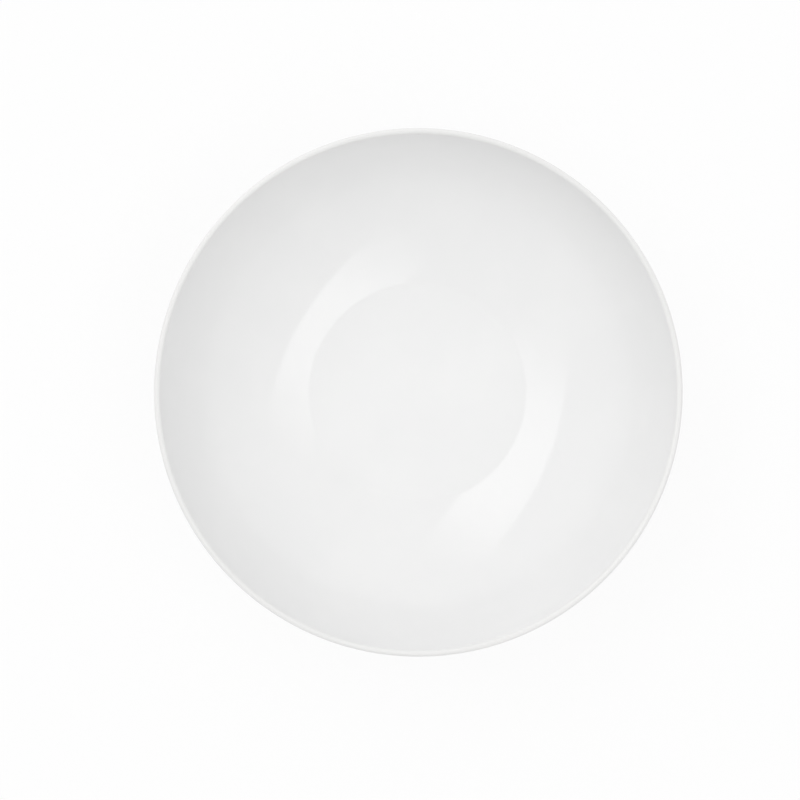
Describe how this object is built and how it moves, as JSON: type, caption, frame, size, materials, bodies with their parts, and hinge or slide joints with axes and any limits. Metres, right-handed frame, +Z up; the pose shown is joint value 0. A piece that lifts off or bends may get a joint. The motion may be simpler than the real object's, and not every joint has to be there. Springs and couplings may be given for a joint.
{
  "type": "buddha bowl",
  "caption": "Round white glazed porcelain bowl with a wide open coupe shape, a wall that turns up to a rounded lip, a shallow dished floor and a foot ring, for serving a one-bowl meal.",
  "frame": {"origin": "centre of the ring that the bowl stands on, at table level", "axes": "+Z up along the bowl's axis, from the foot to the open mouth; X and Y are alike, because the bowl is round"},
  "size_m": [0.2, 0.2, 0.056],
  "materials": {
    "bisque": "matte",
    "glaze": "gloss"
  },
  "bodies": {
    "root": {"porcelain_body": "bisque", "glaze_coat": "glaze", "foot_well_glaze": "glaze"}
  },
  "joints": []
}
